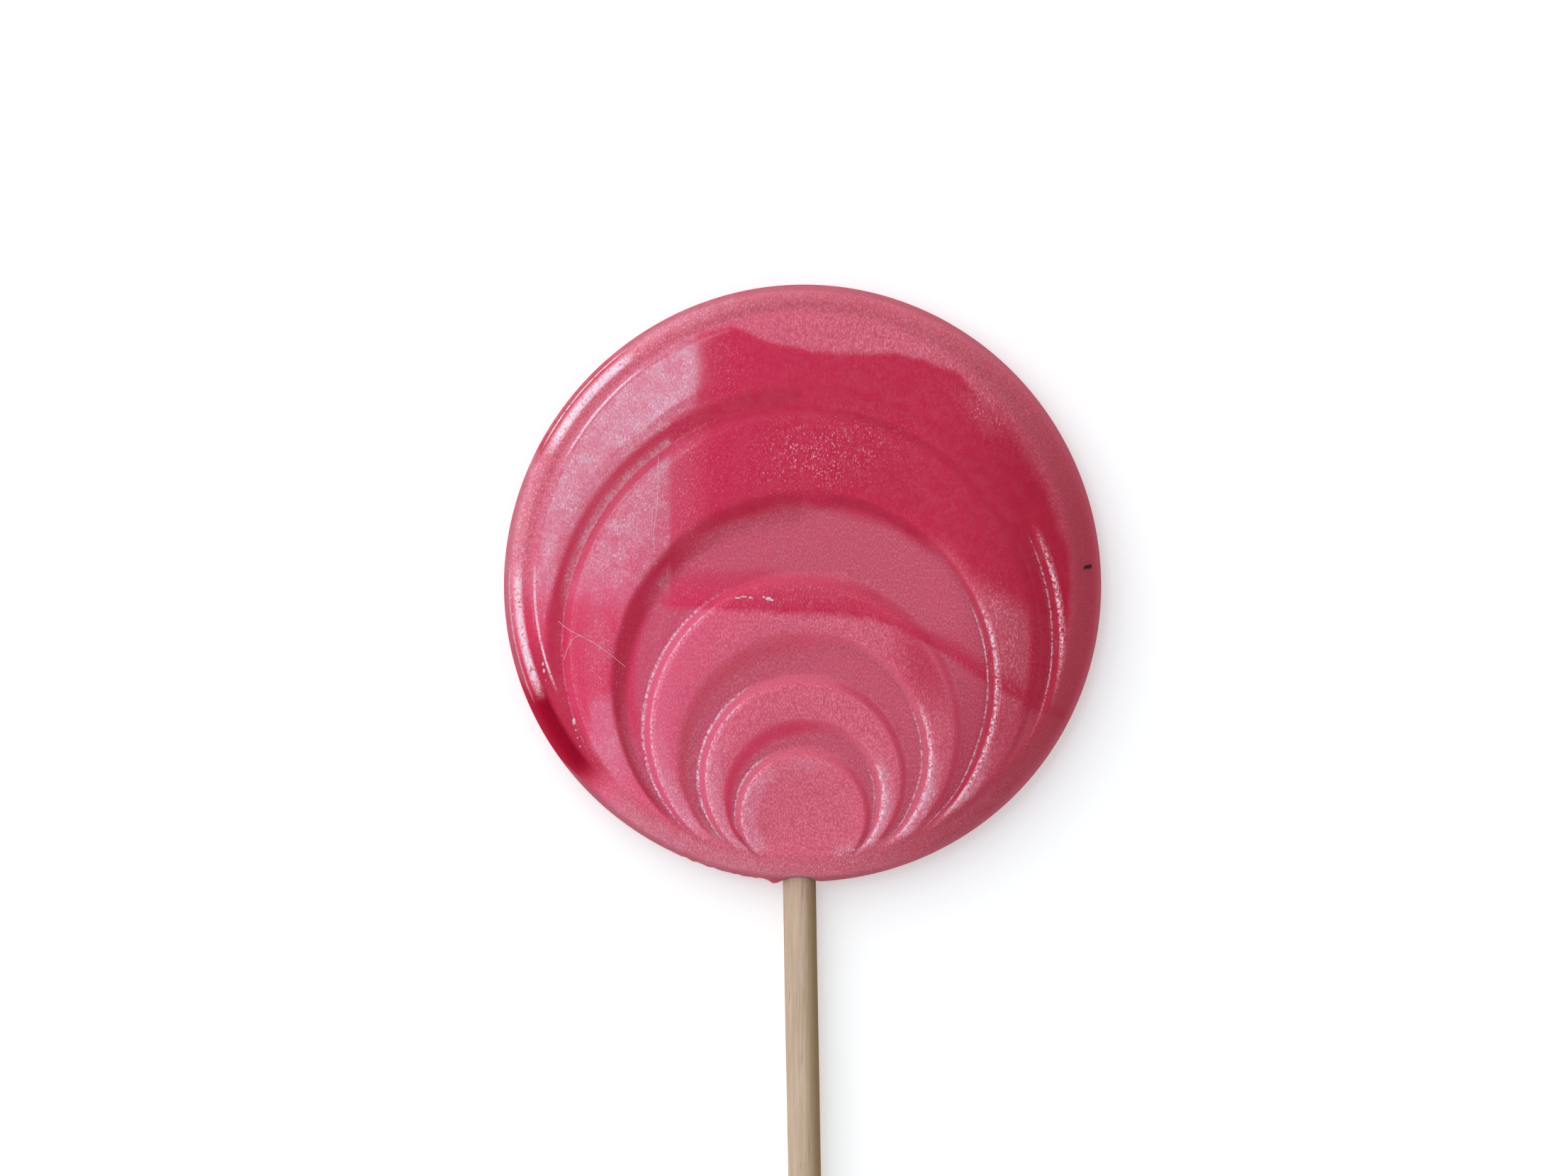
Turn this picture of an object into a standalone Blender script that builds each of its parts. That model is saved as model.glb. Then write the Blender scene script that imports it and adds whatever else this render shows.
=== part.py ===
# A moulded swirl lollipop lying on its flat back. +Z points up out of the relief face, and the
# stick runs along -Y. The origin is the middle of the flat back. Lengths are in metres.

from math import ceil, cos, hypot, pi, radians, sin, sqrt

import bmesh
import bpy
from mathutils import Vector
from mathutils.geometry import delaunay_2d_cdt

# Driving dimensions of the candy
disc_radius = 0.035
disc_thickness = 0.008
face_radius = 0.0315
groove_depth = 0.0009
steepest_wall = 1.6

# Driving dimensions of the stick and its socket
stick_radius = 0.002
stick_length = 0.115
stick_chamfer = 0.0003
stick_height = 0.0037
stick_offset = -0.0005
stick_lean = radians(1.05)
socket_depth = 0.030
fit_gap = 0.0003

# The rim outside the face: radius, and drop below the face
rim_profile = (
    (0.0315, 0.0),
    (0.0321, 0.00035),
    (0.0330, 0.0002),
    (0.0339, 0.0008),
    (0.0346, 0.0019),
    (0.0350, 0.0036),
)

# The edge below the rim, down to the flat back: radius and height
edge_profile = (
    (0.0350, 0.0030),
    (0.0346, 0.0015),
    (0.0340, 0.0005),
    (0.0332, 0.0),
)

# The valleys between the rings. Each has four egg-shaped lines, from the outside in: outer crease,
# outer foot, inner foot, inner crease. A line is its top and bottom on Y and its half width.
valleys = {
    "outermost": (
        (0.0230, -0.0344, 0.0298),
        (0.0214, -0.0343, 0.0286),
        (0.0209, -0.0342, 0.0281),
        (0.0200, -0.0341, 0.0274),
    ),
    "second": (
        (0.0110, -0.0340, 0.0225),
        (0.0082, -0.0339, 0.0211),
        (0.0015, -0.0338, 0.0186),
        (-0.0005, -0.0339, 0.0174),
    ),
    "third": (
        (-0.0054, -0.0339, 0.0148),
        (-0.0084, -0.0338, 0.0133),
        (-0.0104, -0.0338, 0.0122),
        (-0.0122, -0.0339, 0.0111),
    ),
    "fourth": (
        (-0.0155, -0.0339, 0.0093),
        (-0.0180, -0.0338, 0.0082),
        (-0.0191, -0.0338, 0.0081),
        (-0.0207, -0.0339, 0.0072),
    ),
}

# The shallow round recess inside the last ring: its crease and its foot
recess = (
    (-0.0219, -0.0340, 0.0063),
    (-0.0245, -0.0338, 0.0051),
)

# How finely the lines are followed
circle_segments = 120
chord_error = 0.00002
line_reach = 0.0326
weld_distance = 0.00004


def egg_centre(line):
    """The height on Y where an egg line is widest: half a circle lies above it."""
    top, _, half_width = line
    return top - half_width


def outside_egg(line, x, y):
    """How far a point lies outside an egg line, negative inside it."""
    _, bottom, half_width = line
    centre = egg_centre(line)
    half_height = half_width if y > centre else centre - bottom
    return (hypot(x / half_width, (y - centre) / half_height) - 1.0) * half_width


def wall_fraction(crease, foot, x, y):
    """0 at a wall's crease, 1 at its foot, and past both ends by the same rule."""
    from_crease = outside_egg(crease, x, y)
    from_foot = outside_egg(foot, x, y)
    if abs(from_crease - from_foot) < 1e-9:
        return 0.0
    return from_crease / (from_crease - from_foot)


def wall_depth(crease, foot, x, y, inward):
    """Depth of one sloping wall, which never falls faster than steepest_wall."""
    from_crease = outside_egg(crease, x, y) * inward
    if from_crease <= 0.0:
        return 0.0
    fraction = min(wall_fraction(crease, foot, x, y), 1.0)
    if fraction <= 0.0:
        fraction = 1.0
    return min(groove_depth * fraction, from_crease * steepest_wall)


def relief_depth(x, y):
    """Depth below the face of the valley or recess that a point lies in."""
    deepest = wall_depth(recess[0], recess[1], x, y, -1.0)
    for outer_crease, outer_foot, inner_foot, inner_crease in valleys.values():
        outer = wall_depth(outer_crease, outer_foot, x, y, -1.0)
        inner = wall_depth(inner_crease, inner_foot, x, y, 1.0)
        deepest = max(deepest, min(outer, inner))
    return deepest


def rim_drop(radius):
    """Drop of the rim below the face at a distance from the disc's middle."""
    for (inner, inner_drop), (outer, outer_drop) in zip(rim_profile, rim_profile[1:]):
        if inner < radius <= outer:
            return inner_drop + (outer_drop - inner_drop) * (radius - inner) / (outer - inner)
    return rim_profile[-1][1] if radius > face_radius else 0.0


def circle_points(radius, segments):
    """Points of a circle round the disc's middle, counterclockwise."""
    turns = [2.0 * pi * step / segments for step in range(segments)]
    return [Vector((radius * cos(turn), radius * sin(turn))) for turn in turns]


def egg_points(line):
    """Points of an egg line from its bottom round to its bottom, inside the line's reach."""
    _, bottom, half_width = line
    centre = egg_centre(line)
    segments = ceil(pi * sqrt(half_width / (2.0 * chord_error)))
    points = []
    for step in range(segments + 1):
        turn = 2.0 * pi * step / segments
        half_height = half_width if cos(turn) < 0.0 else centre - bottom
        point = Vector((half_width * sin(turn), centre - half_height * cos(turn)))
        if point.length < line_reach:
            points.append(point)
    return points


def make_face_mesh():
    """The relief face as a triangulated sheet whose edges follow every crease and foot."""
    points = []
    edges = []
    for radius, _ in rim_profile:
        first = len(points)
        points += circle_points(radius, circle_segments)
        edges += [(first + step, first + (step + 1) % circle_segments) for step in range(circle_segments)]
    lines = [line for valley in valleys.values() for line in valley] + list(recess)
    for line in lines:
        first = len(points)
        points += egg_points(line)
        edges += [(step, step + 1) for step in range(first, len(points) - 1)]

    corners, _, triangles, _, _, _ = delaunay_2d_cdt(points, edges, [], 0, 1e-7)
    sheet = bmesh.new()
    verts = [sheet.verts.new((corner.x, corner.y, 0.0)) for corner in corners]
    for triangle in triangles:
        sheet.faces.new([verts[index] for index in triangle])
    bmesh.ops.remove_doubles(sheet, verts=sheet.verts, dist=weld_distance)
    for vert in sheet.verts:
        radius = hypot(vert.co.x, vert.co.y)
        vert.co.z = disc_thickness - max(relief_depth(vert.co.x, vert.co.y), rim_drop(radius))
    return sheet


def close_below(sheet):
    """Lofts the rim of the sheet down round the edge and closes it with the flat back."""
    ring = [edge for edge in sheet.edges if edge.is_boundary]
    for radius, height in edge_profile:
        grown = bmesh.ops.extrude_edge_only(sheet, edges=ring)["geom"]
        for vert in (item for item in grown if isinstance(item, bmesh.types.BMVert)):
            stretch = radius / hypot(vert.co.x, vert.co.y)
            vert.co = (vert.co.x * stretch, vert.co.y * stretch, height)
        ring = [item for item in grown if isinstance(item, bmesh.types.BMEdge)]
    bmesh.ops.contextual_create(sheet, geom=ring)
    bmesh.ops.recalc_face_normals(sheet, faces=sheet.faces)


def make_material(name, colour, roughness):
    """A Principled material with one colour."""
    material = bpy.data.materials.new(name)
    material.use_nodes = True
    shader = material.node_tree.nodes["Principled BSDF"]
    shader.inputs["Base Color"].default_value = (*colour, 1.0)
    shader.inputs["Roughness"].default_value = roughness
    shader.inputs["Metallic"].default_value = 0.0
    return material


def add_object(name, mesh, collection):
    """Links a new object for the mesh into a collection."""
    piece = bpy.data.objects.new(name, mesh)
    collection.objects.link(piece)
    return piece


def place_on_stick_axis(piece, inner_end):
    """Turns a cylinder's Z to run out along the stick, starting at its inner end."""
    piece.rotation_euler = (pi / 2.0, 0.0, stick_lean)
    piece.location = (
        stick_offset - sin(stick_lean) * (disc_radius + inner_end),
        inner_end,
        stick_height,
    )


def make_cylinder(name, radius, length, chamfer, segments, collection):
    """A cylinder that stands on its origin, with chamfered ends if a chamfer is given."""
    body = bmesh.new()
    bmesh.ops.create_cone(
        body, cap_ends=True, segments=segments, radius1=radius, radius2=radius, depth=length
    )
    bmesh.ops.translate(body, verts=body.verts, vec=(0.0, 0.0, length / 2.0))
    if chamfer > 0.0:
        ends = [edge for edge in body.edges if abs(edge.verts[0].co.z - edge.verts[1].co.z) < 1e-9]
        bmesh.ops.bevel(body, geom=ends, offset=chamfer, segments=2, profile=0.5, affect="EDGES")
    mesh = bpy.data.meshes.new(name)
    body.to_mesh(mesh)
    body.free()
    return add_object(name, mesh, collection)


def make_candy(parts, cutters):
    """The candy disc: relief face, rounded rim, flat back and the blind socket for the stick."""
    sheet = make_face_mesh()
    close_below(sheet)
    mesh = bpy.data.meshes.new("candy_disc")
    sheet.to_mesh(mesh)
    sheet.free()
    candy = add_object("candy_disc", mesh, parts)
    candy.data.materials.append(make_material("boiled_sugar", (0.56, 0.10, 0.16), 0.25))
    candy.data.shade_smooth()
    candy.data.set_sharp_from_angle(angle=radians(20.0))

    inner_end = socket_depth - disc_radius
    socket = make_cylinder(
        "socket_cutter", stick_radius + fit_gap, 2.0 * socket_depth, 0.0, 32, cutters
    )
    place_on_stick_axis(socket, inner_end + fit_gap)
    socket.hide_render = True
    socket.display_type = "WIRE"
    cut = candy.modifiers.new("Socket", "BOOLEAN")
    cut.operation = "DIFFERENCE"
    cut.object = socket
    return candy


def make_stick(parts):
    """The plain dowel, pushed into the candy from below."""
    stick = make_cylinder("stick", stick_radius, stick_length, stick_chamfer, 32, parts)
    place_on_stick_axis(stick, socket_depth - disc_radius)
    stick.data.materials.append(make_material("pale_wood", (0.55, 0.41, 0.30), 0.6))
    stick.data.shade_smooth()
    stick.data.set_sharp_from_angle(angle=radians(30.0))
    return stick


def make_lollipop():
    """Clears the scene and builds the two pieces."""
    for leftover in list(bpy.data.objects):
        bpy.data.objects.remove(leftover, do_unlink=True)
    parts = bpy.data.collections.new("swirl_lollipop")
    cutters = bpy.data.collections.new("cutters")
    bpy.context.scene.collection.children.link(parts)
    bpy.context.scene.collection.children.link(cutters)
    make_candy(parts, cutters)
    make_stick(parts)


make_lollipop()
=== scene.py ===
from math import cos, pi, radians, sin

import bmesh
import bpy
import numpy as np
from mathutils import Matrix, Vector, noise


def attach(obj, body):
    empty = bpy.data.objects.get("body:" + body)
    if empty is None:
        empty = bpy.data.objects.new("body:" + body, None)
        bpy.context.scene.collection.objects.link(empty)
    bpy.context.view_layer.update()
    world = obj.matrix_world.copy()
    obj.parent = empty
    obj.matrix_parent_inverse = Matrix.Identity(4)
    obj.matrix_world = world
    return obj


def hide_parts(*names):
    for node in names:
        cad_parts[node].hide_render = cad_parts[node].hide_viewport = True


# Swirl lollipop seen square on from above. Lengths in the dictionaries are millimetres, unless a
# note says metres, from the middle of the candy's flat back, and meshes are made in metres.

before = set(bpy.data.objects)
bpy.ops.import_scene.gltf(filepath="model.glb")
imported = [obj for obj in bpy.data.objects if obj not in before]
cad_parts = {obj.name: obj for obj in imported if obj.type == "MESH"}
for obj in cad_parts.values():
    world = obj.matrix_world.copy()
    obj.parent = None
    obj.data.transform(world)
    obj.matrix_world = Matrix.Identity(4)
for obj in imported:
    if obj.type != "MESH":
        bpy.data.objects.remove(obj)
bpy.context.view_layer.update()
mm = 0.001
print("frame loaded:", sorted(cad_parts))


# the sugar disc

candy = {
    "radius": 35.0,
    "thickness": 7.96,          # leaves a little room below the CAD's top for the fine fibre
    "faceRadius": 31.5,
    "valleyDepth": 0.85,
    "recessDepth": 0.6,
    "steepestWall": 1.6,
    "softRound": 0.70,          # how far the walls that fall away from the light are softened
    "crispRound": 0.30,         # and the walls that face it
    "litWidth": 0.95,           # those walls are no wider than this
    "footRidge": 0.03,          # a fine ridge along the outermost valley on the left
    "rimRound": 0.22,
    "innerDip": 0.14,           # inside the first ring the face dips a little to the right
    "segments": 432,            # round the disc
    "outOfRound": 0.09,         # three shallow lobes in the outline
    "grainHeight": 0.004,       # gentle unevenness left by pouring
    "grainSize": 2.6,
    "mouthDent": 0.35,          # the sugar dips in over the stick
    "mouthReach": 2.7,
    "drip": (-3.3, 0.55, 0.45), # a small drip on the edge: its place, half width and size
    "ragged": (0.18, 0.45),     # the lower left of the edge is ragged: height and size
    "faceFrom": 5.0,            # points above this height belong to the face and its rim
}

# each line across the face: top and bottom on Y, half width, then rings up to the next line
ringLines = [
    (35.0, -35.0, 35.0, 38),
    (23.2, -34.40, 30.0, 8),    # outermost valley
    (21.3, -34.32, 28.5, 4),
    (20.8, -34.26, 28.0, 11),
    (19.4, -34.20, 26.7, 16),
    (11.0, -34.12, 22.5, 12),   # second valley
    (8.2, -34.04, 21.1, 11),
    (1.5, -33.96, 18.6, 13),
    (0.0, -33.90, 17.5, 13),
    (-5.4, -33.84, 14.8, 12),   # third valley
    (-8.4, -33.78, 13.3, 5),
    (-10.4, -33.72, 12.2, 12),
    (-11.6, -33.66, 11.2, 10),
    (-15.5, -33.60, 9.3, 10),   # fourth valley
    (-18.0, -33.54, 8.2, 3),
    (-18.9, -33.48, 8.0, 11),
    (-20.0, -33.42, 7.1, 4),
    (-21.4, -33.36, 6.5, 10),   # round recess
    (-24.4, -33.10, 4.9, 12),
    (-29.3, -29.40, 0.05, 0),
]
valleyStarts = (1, 5, 9, 13)    # each valley has four lines: outer crease and foot, inner foot and crease
recessCrease, recessFoot = ringLines[17], ringLines[18]

# the rim: distance from the middle and drop below the face, then the side down to the back
grooveRim = [
    (31.1, 0.0), (32.0, 0.40), (32.7, 0.18), (33.3, 0.28), (33.9, 0.62), (34.6, 1.7), (35.0, 3.6),
]
plainRim = [
    (31.0, 0.0), (32.0, 0.05), (33.0, 0.16), (33.9, 0.46), (34.5, 1.25), (34.8, 2.2), (35.0, 3.6),
]
# how clear the groove is at each angle, counterclockwise from the right
grooveShare = [
    (0, 0.15), (30, 0.30), (60, 0.55), (90, 0.60), (115, 0.60), (130, 0.9), (148, 0.9), (158, 0.35),
    (172, 0.35), (182, 0.75), (200, 0.75), (212, 0.2), (226, 0.0), (325, 0.0), (360, 0.15),
]
sideProfile = [
    (35.0, 4.0), (35.0, 3.4), (34.96, 2.8), (34.85, 2.2), (34.65, 1.6),
    (34.35, 1.05), (34.0, 0.6), (33.6, 0.25), (33.2, 0.0), (32.6, 0.0),
    (28.0, 0.0), (20.0, 0.0), (10.0, 0.0), (0.05, 0.0),
]


def softStep(low, high, value):
    share = np.clip((value - low) / (high - low), 0.0, 1.0)
    return share * share * (3.0 - 2.0 * share)


def within(value, start, full, fading, end):
    # 1 from full to fading, 0 before start and past end
    return softStep(start, full, value) * softStep(end, fading, value)


def strongest(*layers):
    return np.maximum.reduce(layers)


def polar(x, y):
    # distance from the middle, and degrees counterclockwise from the right
    return np.hypot(x, y), np.degrees(np.arctan2(y, x)) % 360.0


def softMax(a, b, blend):
    share = np.clip(0.5 + 0.5 * (a - b) / blend, 0.0, 1.0)
    return b + (a - b) * share + blend * share * (1.0 - share)


def softMin(a, b, blend):
    return -softMax(-a, -b, blend)


def outsideLine(line, x, y):
    # distance outside an egg-shaped line, negative inside: half a circle above, half an oval below
    top, bottom, halfWidth = line[:3]
    centre = top - halfWidth
    halfHeight = np.where(y > centre, halfWidth, centre - bottom)
    return (np.hypot(x / halfWidth, (y - centre) / halfHeight) - 1.0) * halfWidth


def wallFall(crease, foot, x, y, inward, full):
    # depth along one sloping wall, carried on past its crease and its foot
    fromCrease = outsideLine(crease, x, y)
    fromFoot = outsideLine(foot, x, y)
    gap = np.abs(fromCrease - fromFoot)
    spare = softStep(-2.0, 6.0, -inward * x) * np.maximum(gap - candy["litWidth"], 0.0)
    if inward > 0.0:
        fromCrease = fromCrease - spare
    gap = gap - spare
    return full * fromCrease * inward / np.maximum(gap, full / candy["steepestWall"])


def runOut(x, y):
    # the valleys run out toward the rim, most of all where the rings meet over the stick
    return softStep(32.6, 30.3, np.hypot(x, y)) * softStep(-33.2, -30.2, y + 0.02 * x * x)


def outerFall(first, x, y, full=1.0):
    return wallFall(ringLines[first], ringLines[first + 1], x, y, -1.0, full)


def innerFall(first, x, y, full=1.0):
    return wallFall(ringLines[first + 3], ringLines[first + 2], x, y, 1.0, full)


def valleyDepth(x, y):
    # how deep each point lies below the face: the walls that face the light are crisper
    soft, crisp = candy["softRound"], candy["crispRound"]
    onRight = softStep(-2.0, 8.0, x)
    outerRound = soft + (crisp - soft) * onRight
    innerRound = crisp + (soft - crisp) * onRight
    recess = wallFall(recessCrease, recessFoot, x, y, -1.0, candy["recessDepth"])
    recess = softMin(softMax(recess, 0.0, soft), candy["recessDepth"], soft)
    deepest = recess * softStep(-33.0, -28.0, y)
    for first in valleyStarts:
        full = candy["valleyDepth"] * np.ones(len(x))
        if first == 1:
            # the outermost valley is shallow, deeper on the right, and stops short below
            full = 0.30 + 0.60 * softStep(20.0, 24.0, x) * softStep(9.0, 1.0, y)
            full = full * softStep(32.4, 31.0, np.hypot(x, y))
        outer = softMin(softMax(outerFall(first, x, y, full), 0.0, outerRound), full, outerRound)
        inner = softMin(softMax(innerFall(first, x, y, full), 0.0, innerRound), full, innerRound)
        deepest = np.maximum(deepest, softMin(outer, inner, 0.10))
    return deepest * runOut(x, y)


def outerWall(first, x, y):
    # 1 half way down the outer wall of a valley, 0 at its crease and its foot
    outer = outerFall(first, x, y)
    return np.clip(4.0 * outer * (1.0 - outer), 0.0, 1.0) * runOut(x, y)


def innerWall(first, x, y):
    inner = innerFall(first, x, y)
    return np.clip(4.0 * inner * (1.0 - inner), 0.0, 1.0) * runOut(x, y)


def outerBand(first, x, y):
    # the whole outer wall of a valley and the start of its floor
    return within(outerFall(first, x, y), -0.1, 0.35, 1.0, 1.7) * runOut(x, y)


def profileDrop(profile, radius):
    # a rim profile, drawn finely and then smoothed so that it has no corners
    step = 0.02
    fine = np.arange(candy["faceRadius"] - 4.0, candy["radius"] + 2.0, step)
    drop = np.interp(fine, *zip(*profile))
    reach = np.arange(-45, 46) * step
    weight = np.exp(-0.5 * (reach / candy["rimRound"]) ** 2)
    smooth = np.convolve(np.pad(drop, 45, mode="edge"), weight / weight.sum(), mode="valid")
    return np.interp(radius, fine, smooth)


def rimDrop(x, y):
    radius, angle = polar(x, y)
    share = np.interp(angle, *zip(*grooveShare))
    return share * profileDrop(grooveRim, radius) + (1.0 - share) * profileDrop(plainRim, radius)


def linePoints(line, turns):
    top, bottom, halfWidth = line
    centre = top - halfWidth
    halfHeight = np.where(np.cos(turns) < 0.0, halfWidth, centre - bottom)
    return halfWidth * np.sin(turns), centre - halfHeight * np.cos(turns)


def faceRings():
    # nested lines from the outline to the recess, closer together near every crease
    rings = []
    for here, there in zip(ringLines, ringLines[1:]):
        count = here[3]
        for step in range(count):
            share = step / count
            if here is not ringLines[0]:
                share = 0.35 * share + 0.65 * (0.5 - 0.5 * cos(pi * share))
            rings.append(tuple(a + (b - a) * share for a, b in zip(here[:3], there[:3])))
    rings.append(ringLines[-1][:3])
    return rings


def unevenness(points, size):
    return np.array([noise.noise(Vector(point) / size) for point in points])


def faceDrop(x, y):
    # how far each point of the face lies below its top
    radius = np.hypot(x, y)
    drop = softMax(valleyDepth(x, y), rimDrop(x, y), 0.2)
    ridge = candy["footRidge"] * np.exp(-(outsideLine(ringLines[3], x, y) / 0.08) ** 2)
    drop = drop - ridge * softStep(4.0, -6.0, x) * softStep(32.0, 31.0, radius)
    insideFirst = softStep(0.0, -0.7, outsideLine(ringLines[3], x, y))
    return drop + candy["innerDip"] * insideFirst * softStep(-27.0, -3.0, x)


def makeCandyMesh():
    turns = 2.0 * pi * np.arange(candy["segments"]) / candy["segments"]
    xs, ys, zs = [], [], []
    for ring in faceRings():
        x, y = linePoints(ring, turns)
        xs.append(x)
        ys.append(y)
    x, y = np.concatenate(xs), np.concatenate(ys)
    z = candy["thickness"] - faceDrop(x, y)
    flat = softStep(33.6, 32.0, np.hypot(x, y))
    points = np.stack([x, y, z], axis=1)
    z = z + candy["grainHeight"] * flat * (unevenness(points, candy["grainSize"]) - 0.5)

    # the side and the back are plain rings
    for ringRadius, height in sideProfile:
        xs.append(ringRadius * np.sin(turns))
        ys.append(-ringRadius * np.cos(turns))
        zs.append(np.full(len(turns), height))
    x, y = np.concatenate(xs), np.concatenate(ys)
    z = np.concatenate([z] + zs)

    # three shallow lobes leave the outline slightly out of round
    angle = np.arctan2(y, x)
    share = softStep(28.0, 34.0, np.hypot(x, y))
    lobes = candy["outOfRound"] * (1.0 - np.cos(3.0 * (angle + radians(40.0))))
    stretch = 1.0 - share * lobes / candy["radius"]
    x, y = x * stretch, y * stretch

    # the sugar dips in where the stick enters
    fromStick = np.hypot(x - stick["offset"], np.maximum(stick["height"] - z, 0.0))
    dent = candy["mouthDent"] * softStep(candy["mouthReach"], 0.6, fromStick) * softStep(-32.2, -34.6, y)
    place, width, size = candy["drip"]
    drip = size * np.exp(-((x - place) / width) ** 2) * np.exp(-((z - 4.6) / 0.9) ** 2) * (y < -30.0)
    raggedHeight, raggedSize = candy["ragged"]
    ragged = raggedHeight * unevenness(np.stack([x, y, z], axis=1), raggedSize) * (y < 0.0)
    ragged = ragged * softStep(33.8, 34.8, np.hypot(x, y)) * within(x, -16.5, -14.5, -4.0, -2.0)
    y = y + dent - drip + ragged

    count = candy["segments"]
    faceCount = len(faceRings())
    sideCount = len(sideProfile)
    order = list(range(faceCount - 1, -1, -1)) + list(range(faceCount, faceCount + sideCount))
    faces = []
    for inner, outer in zip(order, order[1:]):
        for step in range(count):
            after = (step + 1) % count
            faces.append((inner * count + step, outer * count + step,
                          outer * count + after, inner * count + after))
    faces.append([order[0] * count + step for step in range(count)])
    faces.append([order[-1] * count + step for step in reversed(range(count))])
    mesh = bpy.data.meshes.new("sugar_disc")
    mesh.from_pydata((np.stack([x, y, z], axis=1) * mm).tolist(), [], faces)
    mesh.shade_smooth()
    return mesh, x, y, z


# the marbling: where the clear red runs through the pearly pink, with painted light, shade, highlights and
# glints laid over it

marbling = {
    "crescentEdge": [(-9.5, 31.5), (-8.9, 30.5), (-6.8, 29.4), (-4.7, 28.0), (-2.1, 27.4), (1.0, 26.7),
                     (5.9, 27.0), (10.7, 26.8), (14.4, 25.9), (18.0, 24.4), (19.8, 22.5), (24.0, 18.5),
                     (28.0, 11.5), (30.0, 6.0)],
    "streakTop": [(-17.5, 0.2), (-16.0, 1.0), (-10.3, 1.6), (-2.7, 1.3), (2.2, 1.1), (5.4, 0.5), (8.3, -0.9),
                  (11.0, -2.9), (14.4, -4.9), (18.0, -6.8), (21.2, -8.9), (24.2, -11.2), (31.0, -15.0)],
    "streakEdge": [(-17.5, -2.4), (-15.5, -2.8), (-8.5, -3.2), (-2.7, -3.4), (4.6, -3.6), (8.3, -4.3),
                   (11.0, -5.2), (14.4, -7.0), (18.0, -9.0), (21.2, -11.4), (24.2, -13.1), (27.4, -15.1),
                   (31.0, -16.0)],
    "redFloor": [(-35.0, 0.0), (0.0, 0.0), (10.0, 4.0), (16.5, 4.0), (20.1, 0.0), (23.8, -2.1), (27.0, -4.4),
                 (31.0, -7.0)],
    "edgeBlur": 0.35,
    "wander": 0.5,              # how far the edges wander
    "wanderSize": 5.0,
}


def alongCurve(name, x):
    return np.interp(x, *zip(*marbling[name]))


def blob(x, y, place, size, turn=0.0):
    # a soft oval spot, 1 in its middle
    dx, dy = x - place[0], y - place[1]
    along = (dx * cos(turn) + dy * sin(turn)) / size[0]
    across = (dy * cos(turn) - dx * sin(turn)) / size[1]
    return np.exp(-(along ** 2 + across ** 2))


# how glossy the rim is at each angle, counterclockwise from the right
rimShine = [
    (0, 0.15), (60, 0.2), (100, 0.05), (124, 0.1), (130, 0.7), (149, 0.7), (154, 0.04), (174, 0.04),
    (179, 0.25), (201, 0.25), (204, 0.02), (235, 0.02), (250, 0.2), (290, 0.3), (320, 0.15), (360, 0.15),
]

# how strong the painted highlights along the rim's fine ridges are at each angle
paintedRimHighlights = [
    (0, 0.0), (126, 0.0), (130, 1.2), (149, 1.2), (153, 0.0), (175, 0.0), (180, 0.9), (199, 1.1), (204, 0.0),
    (360, 0.0),
]

bloomSpots = {
    # milky crystals at the surface: place, size, turn in degrees and strength
    "low left": ((-22.6, -19.0), (2.2, 6.5), 0.0, 0.45),
    "lower right": ((24.2, -7.5), (2.6, 5.0), 20.0, 0.03),
    "low left red": ((-23.6, -5.0), (2.4, 8.0), 0.0, 0.30),
    "right of the stick": ((5.2, -31.4), (1.8, 1.0), 30.0, 0.80),
    "last ring top": ((0.0, -20.8), (3.8, 0.9), 0.0, 0.32),
    "upper right": ((20.9, 19.8), (2.6, 0.9), -45.0, 0.06),
}

paintedGlintSpots = {
    # where painted glints sit, laid out the same way
    "second ring top": ((2.4, 15.0), (7.5, 3.4), 8.0, 0.9),
    "first ring top": ((-9.8, 26.0), (2.4, 4.5), 0.0, 0.35),
    "first ring right": ((20.9, 19.8), (3.0, 1.6), -45.0, 0.5),
    "second ring right": ((23.5, -7.0), (3.0, 6.0), 15.0, 0.35),
    "low left red": ((-23.6, -6.0), (2.6, 9.0), 0.0, 0.45),
    "second ring left": ((-12.5, 14.0), (4.0, 9.0), 0.0, 0.25),
    "right of the stick": ((5.2, -31.4), (2.2, 1.2), 30.0, 1.0),
    "streak": ((-6.0, -1.5), (10.0, 2.0), 0.0, 0.25),
}


def spots(table, x, y):
    share = np.zeros(len(x))
    for place, size, turn, strength in table.values():
        share = np.maximum(share, strength * blob(x, y, place, size, radians(turn)))
    return share


def litWalls(x, y):
    # the walls that face the light, with a little of the face on both sides of them
    lit = np.zeros(len(x))
    for first in valleyStarts:
        inner = within(innerFall(first, x, y), -0.6, -0.2, 1.3, 1.8) * softStep(3.0, -3.0, x)
        outer = within(outerFall(first, x, y), -0.6, -0.2, 1.3, 1.8) * softStep(3.0, 9.0, x)
        lit = strongest(lit, inner, outer)
    return lit * runOut(x, y)


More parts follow.
